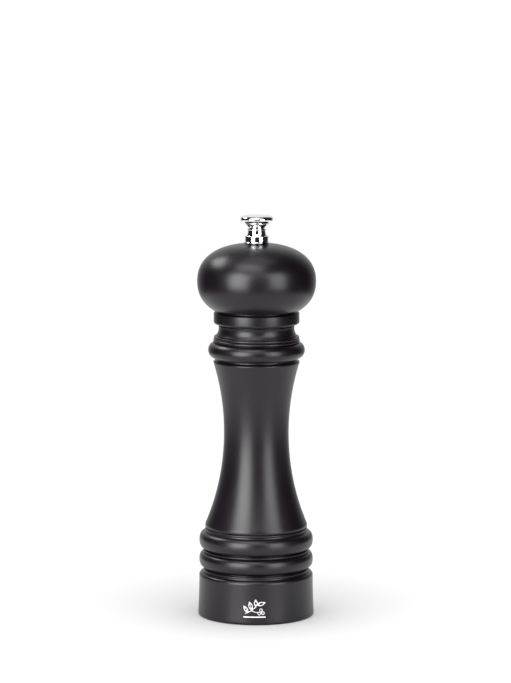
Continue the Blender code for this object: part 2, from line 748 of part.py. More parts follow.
def make_retaining_bar():
    """A bent strip across the foot: it holds the stator's flange up and carries the shaft's lower pin."""
    low, end_x, end_z = BAR_BOTTOM, 19.8 * MM, BAR_END
    knee, shoulder, shift = 12.4 * MM, 15.3 * MM, 0.6 * MM
    upper = [(end_x, end_z), (shoulder, end_z), (knee, low + STRIP)]
    lower = [(knee + shift, low), (shoulder + shift, end_z - STRIP), (end_x, end_z - STRIP)]
    outline = upper + [(-x, z) for x, z in reversed(upper)]
    outline += [(-x, z) for x, z in reversed(lower)] + lower
    bar = strip("retaining_bar", outline, 7.0 * MM, zinc_plate("bar_zinc"))
    hub_top, hub_radius, bore = 4.0 * MM, 3.3 * MM, PIN_RADIUS + GAP
    hub = [(hub_radius, hub_top), (hub_radius, low + 0.2 * MM), (bore - 0.5 * MM, low + 0.2 * MM)]
    hub += [(bore - 0.5 * MM, hub_top)]
    boolean(bar, hidden(turned("bar_hub", hub, CUTTERS, segments=24)), "UNION")
    boolean(bar, cutter_cylinder("bar_bore", bore, low - 1 * MM, hub_top + 1 * MM, segments=24))
    for side, x in enumerate((BAR_SCREW_CIRCLE, -BAR_SCREW_CIRCLE), start=1):
        hole = cutter_cylinder(
            f"bar_hole_{side}", BAR_SCREW_HOLE, end_z - STRIP - 1 * MM, end_z + 1 * MM, x, segments=16
        )
        boolean(bar, hole)


def make_bar_screws():
    seat = BAR_END - STRIP - GAP
    for side, x in enumerate((BAR_SCREW_CIRCLE, -BAR_SCREW_CIRCLE), start=1):
        make_screw(
            f"bar_screw_{side}",
            x,
            seat,
            12.5 * MM,
            1.15 * MM,
            2.0 * MM,
            1.5 * MM,
            steel(f"bar_screw_{side}_steel"),
        )


clear_scene()
PARTS = new_collection("pepper_mill")
CUTTERS = new_collection("cutters")

make_body()
make_head()
make_knob()
make_knob_washer()
make_shaft()
make_drive_plate()
make_plate_screws()
make_stator_casing()
make_stator()
make_rotor()
make_rotor_washer()
make_retaining_clip()
make_upper_bridge()
make_thrust_washer()
make_spring()
make_retaining_bar()
make_bar_screws()
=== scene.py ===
"""Looks of the turned black pepper mill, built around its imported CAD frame.

Metres, +Z up, and -Y is the side with the printed sprig. The turned pieces are spun again from the
CAD's own profiles with finer steps and softened corners; the small metal pieces keep their CAD shape
with broken edges.
"""

import math

import bmesh
import bpy
from mathutils import Matrix, Vector


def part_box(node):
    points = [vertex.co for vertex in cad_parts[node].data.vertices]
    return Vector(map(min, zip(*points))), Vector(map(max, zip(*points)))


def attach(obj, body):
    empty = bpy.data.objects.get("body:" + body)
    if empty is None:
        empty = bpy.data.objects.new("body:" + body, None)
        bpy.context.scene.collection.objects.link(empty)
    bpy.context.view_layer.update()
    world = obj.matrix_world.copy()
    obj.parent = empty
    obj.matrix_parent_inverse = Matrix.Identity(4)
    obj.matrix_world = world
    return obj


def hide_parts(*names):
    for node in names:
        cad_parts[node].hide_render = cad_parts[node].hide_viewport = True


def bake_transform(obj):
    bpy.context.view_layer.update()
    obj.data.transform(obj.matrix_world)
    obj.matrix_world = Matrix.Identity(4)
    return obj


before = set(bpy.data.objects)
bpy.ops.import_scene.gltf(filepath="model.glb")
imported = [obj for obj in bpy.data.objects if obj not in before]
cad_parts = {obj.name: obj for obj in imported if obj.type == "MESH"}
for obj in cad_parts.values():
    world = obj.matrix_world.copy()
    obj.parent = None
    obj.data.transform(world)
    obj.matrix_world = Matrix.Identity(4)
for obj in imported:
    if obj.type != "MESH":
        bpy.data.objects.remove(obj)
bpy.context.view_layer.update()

MM = 0.001
WOOD_SEGMENTS = 160
METAL_SEGMENTS = 96
CORNER_TURN = math.radians(46)  # an outline that turns more than this has a corner there
CURVE_TURN = math.radians(7)  # the most that a curve turns from one fine point to the next
SHARP_TURN = math.radians(32)  # faces that meet at more than this have a sharp edge
METAL_STEP, METAL_ROUNDING = 0.4 * MM, 0.06 * MM
MERGE = 0.001 * MM


# ---------------------------------------------------------------- material nodes


class Nodes:
    """The node tree of a material or the world, with short calls for adding and joining nodes."""

    def __init__(self, owner):
        owner.use_nodes = True
        self.owner = owner
        self.tree = owner.node_tree

    def add(self, kind, settings=None, **inputs):
        """Adds a node; an input is a value or the output socket of another node."""
        made = self.tree.nodes.new(kind)
        for key, value in (settings or {}).items():
            setattr(made, key, value)
        for key, value in inputs.items():
            self.join(value, made.inputs[key.replace("_", " ")])
        return made

    def join(self, value, socket):
        if isinstance(value, bpy.types.NodeSocket):
            self.tree.links.new(value, socket)
        else:
            socket.default_value = value

    def set(self, **inputs):
        """Sets the Principled shader's inputs."""
        shader = self.tree.nodes["Principled BSDF"]
        for key, value in inputs.items():
            self.join(value, shader.inputs[key.replace("_", " ")])

    def stretched(self, scale):
        """The object's own coordinates in metres, times a scale for each axis."""
        place = self.add("ShaderNodeTexCoord").outputs["Object"]
        return self.add("ShaderNodeMapping", Vector=place, Scale=scale).outputs["Vector"]

    def noise(self, size, stretch=(1, 1, 1), detail=2.0, roughness=0.5, distortion=0.0):
        """Noise whose features measure about `size` metres."""
        return self.add(
            "ShaderNodeTexNoise",
            Vector=self.stretched(stretch),
            Scale=1 / size,
            Detail=detail,
            Roughness=roughness,
            Distortion=distortion,
        ).outputs["Fac"]

    def ranged(self, value, low, high, new_low, new_high):
        """The value moved from the range low to high into the new range, and kept inside it."""
        return self.add(
            "ShaderNodeMapRange",
            Value=value,
            From_Min=low,
            From_Max=high,
            To_Min=new_low,
            To_Max=new_high,
        ).outputs["Result"]

    def ramp(self, value, stops):
        """A colour ramp with stops of (place, grey or colour)."""
        made = self.add("ShaderNodeValToRGB", Fac=value)
        elements = made.color_ramp.elements
        while len(elements) < len(stops):
            elements.new(0.5)
        for element, (place, colour) in zip(elements, stops):
            element.position = place
            element.color = (*colour, 1) if isinstance(colour, tuple) else (colour, colour, colour, 1)
        return made.outputs["Color"]

    def maths(self, operation, a, b=0.0):
        made = self.tree.nodes.new("ShaderNodeMath")
        made.operation = operation
        self.join(a, made.inputs[0])
        self.join(b, made.inputs[1])
        return made.outputs[0]

    def mixed(self, share, a, b):
        """Colour a where share is 0 and colour b where it is 1."""
        made = self.tree.nodes.new("ShaderNodeMix")
        made.data_type = "RGBA"
        self.join(share, made.inputs["Factor"])
        self.join(a, made.inputs[6])
        self.join(b, made.inputs[7])
        return made.outputs[2]

    def bump(self, *layers):
        """Stacks bumps given as (height socket, height in metres) and gives the shader the normal."""
        normal = None
        for height, distance in layers:
            made = self.add("ShaderNodeBump", Height=height, Distance=distance, Strength=1.0)
            if normal is not None:
                self.tree.links.new(normal, made.inputs["Normal"])
            normal = made.outputs["Normal"]
        self.set(Normal=normal)

    def wear(self):
        """1 along softened corners, fading to 0 a little way from them."""
        return self.add("ShaderNodeAttribute", {"attribute_name": "wear"}).outputs["Fac"]


def rgb(red, green, blue):
    return (red, green, blue, 1.0)


def black_lacquer():
    """Satin black lacquer sprayed over turned wood: a fine peel, faint drawn-out grain, rubbed edges."""
    nodes = Nodes(bpy.data.materials.new("black_lacquer"))
    tone = nodes.noise(9 * MM, (1, 1, 0.35), detail=3)
    colour = nodes.mixed(tone, rgb(0.0032, 0.0016, 0.0032), rgb(0.0046, 0.0024, 0.0048))
    worn = nodes.maths("MULTIPLY", nodes.wear(), nodes.noise(1.6 * MM, detail=3))
    colour = nodes.mixed(nodes.maths("MULTIPLY", worn, 0.5), colour, rgb(0.02, 0.018, 0.018))
    smears = nodes.noise(5 * MM, (1, 1, 0.5), detail=4, roughness=0.6)
    roughness = nodes.ranged(smears, 0.3, 0.7, 0.31, 0.36)
    nodes.set(
        Base_Color=colour,
        Roughness=nodes.maths("ADD", roughness, nodes.maths("MULTIPLY", worn, 0.12)),
        IOR=1.48,
    )
    nodes.bump(
        (nodes.noise(0.75 * MM, detail=2), 0.012 * MM),
        (nodes.noise(0.28 * MM, (1, 1, 0.05), detail=2), 0.0022 * MM),
    )
    return nodes.owner


def bare_beech():
    """Turned beech with no finish: pale pinkish brown, short dark flecks along the grain, pepper dust."""
    nodes = Nodes(bpy.data.materials.new("bare_beech"))
    grain = nodes.noise(2.2 * MM, (1, 1, 0.06), detail=5, roughness=0.6, distortion=0.4)
    colour = nodes.mixed(grain, rgb(0.50, 0.31, 0.17), rgb(0.66, 0.46, 0.28))
    fleck = nodes.noise(0.55 * MM, (1, 1, 0.12), detail=1)
    flecks = nodes.ranged(fleck, 0.62, 0.72, 0.0, 0.6)
    colour = nodes.mixed(flecks, colour, rgb(0.22, 0.11, 0.05))
    dust = nodes.ranged(nodes.noise(6 * MM, detail=4, roughness=0.7), 0.45, 0.75, 0.0, 0.35)
    colour = nodes.mixed(dust, colour, rgb(0.17, 0.12, 0.075))
    nodes.set(Base_Color=colour, Roughness=nodes.ranged(grain, 0.3, 0.7, 0.62, 0.8))
    nodes.bump((nodes.noise(0.4 * MM, (1, 1, 0.08), detail=3), 0.02 * MM))
    return nodes.owner


def bright_metal(name, colour, rough_low, rough_high, brushed=None, brushed_depth=0.0, pitting=0.0):
    """A metal whose roughness varies in soft patches, with optional brushing and pitting."""
    nodes = Nodes(bpy.data.materials.new(name))
    patches = nodes.noise(3 * MM, detail=3, roughness=0.6)
    dull = tuple(channel * 0.9 for channel in colour)
    tint = nodes.ranged(patches, 0.35, 0.7, 0.0, 1.0)
    nodes.set(
        Base_Color=nodes.mixed(tint, rgb(*colour), rgb(*dull)),
        Metallic=1.0,
        Roughness=nodes.ranged(patches, 0.3, 0.7, rough_low, rough_high),
    )
    layers = []
    if brushed:
        layers.append((nodes.noise(0.12 * MM, brushed, detail=2), brushed_depth))
    if pitting:
        layers.append((nodes.noise(0.35 * MM, detail=3, roughness=0.7), pitting))
    if layers:
        nodes.bump(*layers)
    return nodes.owner


def bright_chrome():
    return bright_metal("bright_chrome", (0.95, 0.95, 0.955), 0.03, 0.06, pitting=0.0004 * MM)


def drawn_steel():
    return bright_metal("drawn_steel", (0.60, 0.59, 0.57), 0.24, 0.36, (1, 1, 0.02), 0.0015 * MM)


def zinc_plated():
    return bright_metal("zinc_plated_steel", (0.72, 0.74, 0.76), 0.28, 0.42, pitting=0.003 * MM)


def hardened_steel():
    return bright_metal("hardened_steel", (0.30, 0.29, 0.28), 0.34, 0.5, pitting=0.006 * MM)


def spring_steel():
    return bright_metal("spring_steel", (0.48, 0.48, 0.47), 0.26, 0.36, pitting=0.001 * MM)


def screw_steel():
    return bright_metal("screw_steel", (0.62, 0.61, 0.58), 0.2, 0.34, pitting=0.002 * MM)


def white_ink():
    """Pad-printed white ink: nearly even, a little thin in places."""
    nodes = Nodes(bpy.data.materials.new("white_ink"))
    cover = nodes.noise(0.5 * MM, detail=4, roughness=0.7)
    solid = nodes.ranged(cover, 0.35, 0.6, 0, 1)
    nodes.set(
        Base_Color=nodes.mixed(solid, rgb(0.6, 0.6, 0.6), rgb(0.8, 0.8, 0.79)),
        Roughness=nodes.ranged(cover, 0.3, 0.7, 0.45, 0.6),
    )
    nodes.bump((nodes.noise(0.15 * MM), 0.003 * MM))
    return nodes.owner


LACQUER = black_lacquer()
BEECH = bare_beech()
CHROME = bright_chrome()
STEEL = drawn_steel()
ZINC = zinc_plated()
HARD_STEEL = hardened_steel()
SPRING_STEEL = spring_steel()
SCREW_STEEL = screw_steel()
INK = white_ink()


# ---------------------------------------------------------------- outlines read from the frame


def outline_of(node, centre_x=0.0):
    """A turned CAD node's outline, as (radius, height) points in order, read where it crosses +Y."""
    neighbours = {}
    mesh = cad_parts[node].data
    keys = {}
    for vertex in mesh.vertices:
        x, y, z = vertex.co
        if abs(x - centre_x) < MERGE and y > -MERGE:
            keys[vertex.index] = (round(max(y, 0.0) / MERGE), round(z / MERGE))
    for edge in mesh.edges:
        a, b = (keys.get(index) for index in edge.vertices)
        if a is None or b is None or a == b:
            continue
        if a[0] == 0 and b[0] == 0:
            continue
        neighbours.setdefault(a, set()).add(b)
        neighbours.setdefault(b, set()).add(a)
    ends = [key for key, others in neighbours.items() if len(others) == 1]
    here = max(ends or neighbours, key=lambda key: key[1])
    path, last = [here], None
    while True:
        onward = [key for key in neighbours[here] if key != last and key not in path[1:]]
        if not onward or onward[0] == path[0]:
            break
        last, here = here, onward[0]
        path.append(here)
    points = [Vector((radius * MERGE, height * MERGE)) for radius, height in path]
    return counter_clockwise(without_straight_points(points))


def without_straight_points(points):
    kept = []
    for i, point in enumerate(points):
        before = point - points[i - 1]
        after = points[(i + 1) % len(points)] - point
        if abs(turn(before, after)) > math.radians(0.2):
            kept.append(point)
    return kept


def counter_clockwise(points):
    area = sum(a.x * b.y - b.x * a.y for a, b in zip(points, points[1:] + points[:1]))
    return points if area > 0 else points[::-1]


def turn(before, after):
    """Signed angle from one direction to the next, positive to the left."""
    return math.atan2(before.x * after.y - before.y * after.x, before.dot(after))


def mirrored(direction, along):
    """The direction at the far end of an arc that starts with this one and has its chord `along`."""
    return 2 * along.dot(direction) * along - direction


def smooth_directions(points):
    """The outline's direction at each point that isn't a corner, or None at a corner."""
    count = len(points)
    chords = [points[(i + 1) % count] - points[i] for i in range(count)]
    round_points, led_points = {}, {}
    for i in range(count):
        before, after = chords[i - 1], chords[i]
        if abs(turn(before, after)) > CORNER_TURN:
            continue
        longer, shorter = max(before.length, after.length), min(before.length, after.length)
        if longer <= 2 * shorter:
            round_points[i] = (before / before.length_squared + after / after.length_squared).normalized()
        else:
            led_points[i] = i if after.length > before.length else i - 1
    for i, chord in led_points.items():
        start, end = end_directions(round_points, chords, chord % count)
        led_points[i] = start if chord == i else end
    return {**round_points, **led_points}


def end_directions(directions, chords, i):
    """Directions at the start and the end of chord i, which runs on as an arc where it may."""
    along = chords[i].normalized()
    start, end = directions.get(i), directions.get((i + 1) % len(chords))
    if start is None and end is None:
        return along, along
    if start is None:
        return mirrored(end, along), end
    if end is None:
        return start, mirrored(start, along)
    return start, end


def faired(points, step, rounding, is_closed=True):
    """A finer outline: smooth stretches become curves and corners get a small radius.

    Gives (point, wear) pairs, where wear is 1 on the rounding of an outer corner.
    """
    count = len(points)
    chords = [points[(i + 1) % count] - points[i] for i in range(count)]
    directions = smooth_directions(points)
    fine, corners = [], []
    for i in range(count if is_closed else count - 1):
        start, end = end_directions(directions, chords, i)
        length = chords[i].length
        bend = abs(turn(start, end))
        steps = max(1, math.ceil(bend / CURVE_TURN), math.ceil(length / step) if bend > 0.01 else 1)
        handle = length / (3 * math.cos(bend / 4) ** 2)
        inner_start = points[i] + start * handle
        inner_end = points[(i + 1) % count] - end * handle
        for k in range(steps):
            t = k / steps
            fine.append(bezier(points[i], inner_start, inner_end, points[(i + 1) % count], t))
            corners.append(k == 0 and i not in directions)
    if not is_closed:
        fine.append(points[-1])
        corners.append(False)
        corners[0] = False
    return rounded(fine, corners, rounding)


def bezier(a, b, c, d, t):
    s = 1 - t
    return s * s * s * a + 3 * s * s * t * b + 3 * s * t * t * c + t * t * t * d


def rounded(points, corners, radius):
    result = []
    for i, (point, is_corner) in enumerate(zip(points, corners)):
        if not is_corner:
            result.append((point, 0.0))
            continue
        before, after = points[i - 1] - point, points[(i + 1) % len(points)] - point
        cut = min(radius, 0.42 * before.length, 0.42 * after.length)
        start, end = point + before.normalized() * cut, point + after.normalized() * cut
        is_outer = turn(-before, after) > 0
        for t in (0.0, 0.25, 0.5, 0.75, 1.0):
            s = 1 - t
            result.append((s * s * start + 2 * s * t * point + t * t * end, 1.0 if is_outer else 0.0))
    return result


# ---------------------------------------------------------------- making pieces


def new_piece(name, mesh, body, materials, replaces=()):
    ob = bpy.data.objects.new(name, mesh)
    bpy.context.scene.collection.objects.link(ob)
    for material in materials:
        mesh.materials.append(material)
    if body:
        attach(ob, body)
    if replaces:
        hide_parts(*replaces)
    return ob


def shade_smooth(mesh):
    mesh.shade_smooth()
    mesh.set_sharp_from_angle(angle=SHARP_TURN)


def spun(name, outline, segments, centre_x=0.0, finish_of=None):
    """A mesh made by turning an outline of (point, wear) pairs about a vertical axis."""
    bm = bmesh.new()
    wear = bm.verts.layers.float.new("wear")
    rings = []
    for point, worn in outline:
        if point.x < MERGE:
            vertex = bm.verts.new((centre_x, 0, point.y))
            rings.append([vertex] * segments)
            continue
        ring = []
        for k in range(segments):
            angle = 2 * math.pi * k / segments
            across, deep = point.x * math.cos(angle), point.x * math.sin(angle)
            vertex = bm.verts.new((centre_x + across, deep, point.y))
            vertex[wear] = worn
            ring.append(vertex)
        rings.append(ring)
    is_closed = outline[0][0].x > MERGE or outline[-1][0].x > MERGE
    for i in range(len(rings) if is_closed else len(rings) - 1):
        low, high = rings[i], rings[(i + 1) % len(rings)]
        middle = (outline[i][0] + outline[(i + 1) % len(rings)][0]) / 2
        for k in range(segments):
            j = (k + 1) % segments
            corners = list(dict.fromkeys((low[k], low[j], high[j], high[k])))
            if len(corners) > 2:
                face = bm.faces.new(corners)
                face.material_index = finish_of(middle.x, middle.y) if finish_of else 0
    bmesh.ops.recalc_face_normals(bm, faces=bm.faces)
    mesh = bpy.data.meshes.new(name)
    bm.to_mesh(mesh)
    bm.free()
    shade_smooth(mesh)
    return mesh


def fine_outline(points, step, rounding):
    """The faired outline; one that meets the axis is open, and starts and ends there."""
    on_axis = [point.x < MERGE for point in points]
    if not any(on_axis):
        return faired(points, step, rounding)
    start = on_axis.index(True)
    points = points[start:] + points[:start]
    if points[1].x < MERGE:
        points = points[1:] + points[:1]
    return faired(points, step, rounding, is_closed=False)


def turned_piece(name, node, body, material, step=METAL_STEP, rounding=METAL_ROUNDING):
    """Spins a turned CAD node again, finer."""
    mesh = spun(name, fine_outline(outline_of(node), step, rounding), METAL_SEGMENTS)
    return new_piece(name, mesh, body, (material,), (node,))


def softened(name, node, body, material, width=0.1 * MM):
    """A CAD node's own shape with all its edges broken by a small bevel."""
    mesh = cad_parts[node].data.copy()
    mesh.name = name
    mesh.materials.clear()
    bm = bmesh.new()
    bm.from_mesh(mesh)
    bmesh.ops.remove_doubles(bm, verts=bm.verts, dist=MERGE)
    bmesh.ops.dissolve_limit(bm, angle_limit=math.radians(1), verts=bm.verts, edges=bm.edges)
    bm.to_mesh(mesh)
    bm.free()
    piece = new_piece(name, mesh, body, (material,), (node,))
    bevel = piece.modifiers.new("broken_edges", "BEVEL")
    bevel.width = width
    bevel.segments = 2
    bevel.limit_method = "ANGLE"
    bevel.angle_limit = SHARP_TURN
    shade_smooth(mesh)
    return piece


# ---------------------------------------------------------------- meshes for small metal parts


def loose_object(mesh):
    ob = bpy.data.objects.new(mesh.name, mesh)
    bpy.context.scene.collection.objects.link(ob)
    return ob


def carved(name, shapes, cutters=()):
    """One closed mesh from shapes that overlap, less the cutters."""
    first, *others = [loose_object(mesh) for mesh in (*shapes, *cutters)]
    for i, tool in enumerate(others, start=1):
        step = first.modifiers.new("carve", "BOOLEAN")
        step.operation = "UNION" if i < len(shapes) else "DIFFERENCE"
        step.solver = "EXACT"
        step.object = tool
    bpy.context.view_layer.update()
    solid = first.evaluated_get(bpy.context.evaluated_depsgraph_get())
    mesh = bpy.data.meshes.new_from_object(solid)
    mesh.name = name
    for ob in (first, *others):
        bpy.data.objects.remove(ob)
    shade_smooth(mesh)
    return mesh


def lathed(name, corners, rounding=METAL_ROUNDING, centre_x=0.0, segments=METAL_SEGMENTS):
    """A turned shape from its own outline of (radius, height) corners."""
    points = counter_clockwise([Vector(corner) for corner in corners])
    return spun(name, fine_outline(points, METAL_STEP, rounding), segments, centre_x)


def rod(name, radius, low, high, rounding=0.0, centre_x=0.0, segments=METAL_SEGMENTS):
    corners = [(0.0, low), (radius, low), (radius, high), (0.0, high)]
    return lathed(name, corners, rounding, centre_x, segments)


def block(name, size_x, size_y, low, high, centre_x=0.0, rounding=0.0):
    bm = bmesh.new()
    bmesh.ops.create_cube(bm, size=1.0)
    bmesh.ops.scale(bm, vec=(size_x, size_y, high - low), verts=bm.verts)
    bmesh.ops.translate(bm, vec=(centre_x, 0, (low + high) / 2), verts=bm.verts)
    if rounding:
        bmesh.ops.bevel(bm, geom=bm.edges[:], offset=rounding, segments=3, profile=0.5, affect="EDGES")
    mesh = bpy.data.meshes.new(name)
    bm.to_mesh(mesh)
    bm.free()
    return mesh


def threaded(name, low, high, crest, root, pitch, centre_x=0.0, point=0.0):
    """A rod with a right-hand thread; `point` is the length over which its top end tapers.

    One turn runs along root, flank, crest and flank, as (share of the pitch, radius).
    """
    columns = 32
    shape = ((0.0, root), (0.18, root), (0.5, crest), (0.66, crest))
    turns = math.ceil((high - low) / pitch) + 2
    bm = bmesh.new()
    grid = []
    for column in range(columns):
        share = column / columns
        angle = 2 * math.pi * share
        line = []
        for turn_number in range(turns):
            for offset, radius in shape:
                height = low + (turn_number - 1 + offset + share) * pitch
                radius = min(radius, root + max(high - height, 0.0), root + max(height - low, 0.0))
                height = min(max(height, low), high)
                taper = min(1.0, 0.06 + (high - height) / point) if point else 1.0
                x, y = radius * taper * math.cos(angle), radius * taper * math.sin(angle)
                line.append(bm.verts.new((centre_x + x, y, height)))
        grid.append(line)
    for column in range(columns):
        here, onward = grid[column], grid[(column + 1) % columns]
        shift = len(shape) if column == columns - 1 else 0
        for row in range(len(here) - 1):
            if row + 1 + shift < len(onward):
                bm.faces.new((here[row], onward[row + shift], onward[row + 1 + shift], here[row + 1]))
            elif row + shift < len(onward):
                bm.faces.new((here[row], onward[row + shift], here[row + 1]))
    bmesh.ops.remove_doubles(bm, verts=bm.verts, dist=MERGE)
    bmesh.ops.holes_fill(bm, edges=[edge for edge in bm.edges if edge.is_boundary])
    bmesh.ops.recalc_face_normals(bm, faces=bm.faces)
    mesh = bpy.data.meshes.new(name)
    bm.to_mesh(mesh)
    bm.free()
    return mesh


def sheet_ring(name, inner, outer, low, high, opening, rounding):
    """A flat ring with a gap of `opening` radians, as a circlip has."""
    steps = 80
    bm = bmesh.new()
    rows = []
    for k in range(steps + 1):
        angle = opening / 2 + (2 * math.pi - opening) * k / steps
        corners = ((inner, low), (outer, low), (outer, high), (inner, high))
        rows.append([bm.verts.new((r * math.cos(angle), r * math.sin(angle), z)) for r, z in corners])
    for here, onward in zip(rows, rows[1:]):
        for j in range(4):
            bm.faces.new((here[j], here[(j + 1) % 4], onward[(j + 1) % 4], onward[j]))
    bm.faces.new(rows[0])
    bm.faces.new(rows[-1])
    bmesh.ops.recalc_face_normals(bm, faces=bm.faces)
    sharp = [edge for edge in bm.edges if edge.calc_face_angle(0.0) > math.radians(40)]
    bmesh.ops.bevel(bm, geom=sharp, offset=rounding, segments=2, profile=0.5, affect="EDGES")
    mesh = bpy.data.meshes.new(name)
    bm.to_mesh(mesh)
    bm.free()
    shade_smooth(mesh)
    return mesh


def coil(name, mean, wire, turns, low, high, closed_share):
    """A round-wire compression spring whose end turns lie nearly flat."""
    steps, sides = 48, 16
    count = int(turns * steps) + 1
    flat_total = 2.1 * wire * turns  # how high the coil is when every turn all but touches the next
    bm = bmesh.new()
    rings = []
    for i in range(count):
        share = i / (count - 1)
        angle = 2 * math.pi * turns * share
        open_share = min(max((share - closed_share) / (1 - 2 * closed_share), 0.0), 1.0)
        eased = open_share * open_share * (3 - 2 * open_share)
        height = low + flat_total * share + (high - low - flat_total) * eased
        ring = []
        for k in range(sides):
            around = 2 * math.pi * k / sides
            radius = mean + wire * math.cos(around)
            z = height + wire * math.sin(around)
            ring.append(bm.verts.new((radius * math.cos(angle), radius * math.sin(angle), z)))
        rings.append(ring)
    for here, onward in zip(rings, rings[1:]):
        for k in range(sides):
            j = (k + 1) % sides
            bm.faces.new((here[k], here[j], onward[j], onward[k]))
    bm.faces.new(rings[0])
    bm.faces.new(rings[-1])
    bmesh.ops.recalc_face_normals(bm, faces=bm.faces)
    mesh = bpy.data.meshes.new(name)
    bm.to_mesh(mesh)
    bm.free()
    shade_smooth(mesh)
    return mesh


# ---------------------------------------------------------------- the wood


def body_finish(radius, height):
    """0 for lacquer and 1 for bare wood: the body is sprayed outside only."""
    mouth = 13.15 * MM
    rim, recess_radius, recess_depth = 0.1 * MM, 20.7 * MM, 8.6 * MM
    is_in_recess = radius < recess_radius and rim < height < recess_depth
    return 1 if radius < mouth or is_in_recess else 0


def head_finish(radius, height):
    """The head is bare on its tenon only: the lacquer runs down into its bore."""
    tenon_radius, seat = 12.2 * MM, 137.4 * MM
    return 1 if radius < tenon_radius and height < seat else 0


def wood_outline(node):
    return fine_outline(outline_of(node), step=0.9 * MM, rounding=0.12 * MM)


def make_wood():
    for name, node, body, finish_of in (
        ("turned_body", "body", "mill_body", body_finish),
        ("turned_head", "head", "head", head_finish),
    ):
        mesh = spun(name, wood_outline(node), WOOD_SEGMENTS, finish_of=finish_of)
        new_piece(name, mesh, body, (LACQUER, BEECH), (node,))


# ---------------------------------------------------------------- the knob, shaft and screws


def make_knob():
    """The knob's foot is let down to its bush, because the CAD keeps a clearance between the two."""
    sink = 0.25 * MM
    outline = outline_of("adjusting_knob")
    base = min(point.y for point in outline)
    for point in outline:
        if point.y < base + MERGE:
            point.y -= sink
    mesh = spun("knob", fine_outline(outline, METAL_STEP, METAL_ROUNDING), METAL_SEGMENTS)
    new_piece("knob", mesh, "knob", (CHROME,), ("adjusting_knob",))


def make_knob_bush():
    turned_piece("knob_bush", "knob_washer", "head", CHROME)


def make_shaft():
    """A square drawn bar with an M5 thread above and a grooved round pin below."""
    low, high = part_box("shaft")
    side = high.x - low.x
    square_bottom, square_top = 7.9 * MM, 157 * MM
    bar = block("bar", side, side, square_bottom, square_top, rounding=0.25 * MM)
    thread = threaded("thread", square_top - 1 * MM, high.z, 2.45 * MM, 1.98 * MM, 0.8 * MM)
    clip_low, clip_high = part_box("retaining_clip")[0].z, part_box("retaining_clip")[1].z
    gap, pin, groove = 0.3 * MM, 1.9 * MM, 1.4 * MM
    pin_outline = [
        (0.0, square_bottom + 1 * MM),
        (pin, square_bottom + 1 * MM),
        (pin, clip_high + gap),
        (groove, clip_high + gap),
        (groove, clip_low - gap),
        (pin, clip_low - gap),
        (pin, low.z + 0.4 * MM),
        (pin - 0.4 * MM, low.z),
        (0.0, low.z),
    ]
    mesh = carved("spindle_shaft", (bar, thread, lathed("pin", pin_outline)))
    new_piece("spindle_shaft", mesh, "spindle", (STEEL,), ("shaft",))


def make_screw(name, node, body, head_height, crest, root, pitch):
    """A slotted round-head wood screw pointing up, where the CAD has its plain one."""
    low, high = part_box(node)
    centre_x, head = (low.x + high.x) / 2, (high.y - low.y) / 2
    seat = low.z + head_height
    dome = [(0.0, low.z)]
    for degrees in range(18, 91, 18):
        angle = math.radians(degrees)
        rise = (0.4 + 0.6 * math.cos(angle)) * head_height
        dome.append((head * math.sin(angle), seat - rise))
    dome += [(head, seat), (0.0, seat)]
    cap = lathed("cap", dome, 0.05 * MM, centre_x, segments=48)
    shank = threaded("shank", seat - 0.3 * MM, high.z, crest, root, pitch, centre_x, point=2.5 * MM)
    slot = block("slot", 4 * head, 0.5 * MM, low.z - 1 * MM, low.z + 0.5 * head_height, centre_x)
    mesh = carved(name, (cap, shank), (slot,))
    new_piece(name, mesh, body, (SCREW_STEEL,), (node,))


def make_screws():
    large = {"head_height": 1.5 * MM, "crest": 1.15 * MM, "root": 0.8 * MM, "pitch": 1.1 * MM}
    small = {"head_height": 1.1 * MM, "crest": 0.95 * MM, "root": 0.65 * MM, "pitch": 0.9 * MM}
    for side in (1, 2):
        make_screw(f"bar_wood_screw_{side}", f"bar_screw_{side}", "mill_body", **large)
        make_screw(f"plate_wood_screw_{side}", f"plate_screw_{side}", "head", **small)


# ---------------------------------------------------------------- plates, washers, spring, grinding set


SQUARE_HOLE = 5.6 * MM


def make_drive_plate():
    low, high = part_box("drive_plate")
    disc = rod("disc", high.x, low.z, high.z, 0.15 * MM)
    under, over = low.z - 1 * MM, high.z + 1 * MM
    square = block("square", SQUARE_HOLE, SQUARE_HOLE, under, over)
    centres = [sum(corner.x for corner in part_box(f"plate_screw_{side}")) / 2 for side in (1, 2)]
    holes = [rod("hole", 1.25 * MM, under, over, centre_x=x, segments=32) for x in centres]
    mesh = carved("plate", (disc,), (square, *holes))
    new_piece("plate", mesh, "head", (ZINC,), ("drive_plate",))


def make_thrust_washer():
    low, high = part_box("thrust_washer")
    disc = rod("disc", high.x, low.z, high.z, 0.12 * MM)
    square = block("square", SQUARE_HOLE, SQUARE_HOLE, low.z - 1 * MM, high.z + 1 * MM)
    mesh = carved("spring_seat", (disc,), (square,))
    new_piece("spring_seat", mesh, "turning_seat", (STEEL,), ("thrust_washer",))


def make_washer_and_clip():
    turned_piece("pin_washer", "rotor_washer", "spindle", STEEL, rounding=0.1 * MM)
    low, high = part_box("retaining_clip")
    mesh = sheet_ring("circlip", 1.7 * MM, high.y, low.z, high.z, math.radians(50), 0.08 * MM)
    new_piece("circlip", mesh, "spindle", (SPRING_STEEL,), ("retaining_clip",))


def make_spring():
    """The coil bears on the turning seat above and on the rotor below; it is built as one fixed coil
    between them and attached to neither.
    """
    low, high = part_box("spring")
    wire = 0.5 * MM
    mesh = coil("coil_spring", high.y - wire, wire, 5.5, low.z + wire, high.z - wire, closed_share=0.14)
    piece = new_piece("coil_spring", mesh, None, (SPRING_STEEL,), ("spring",))
    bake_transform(piece)


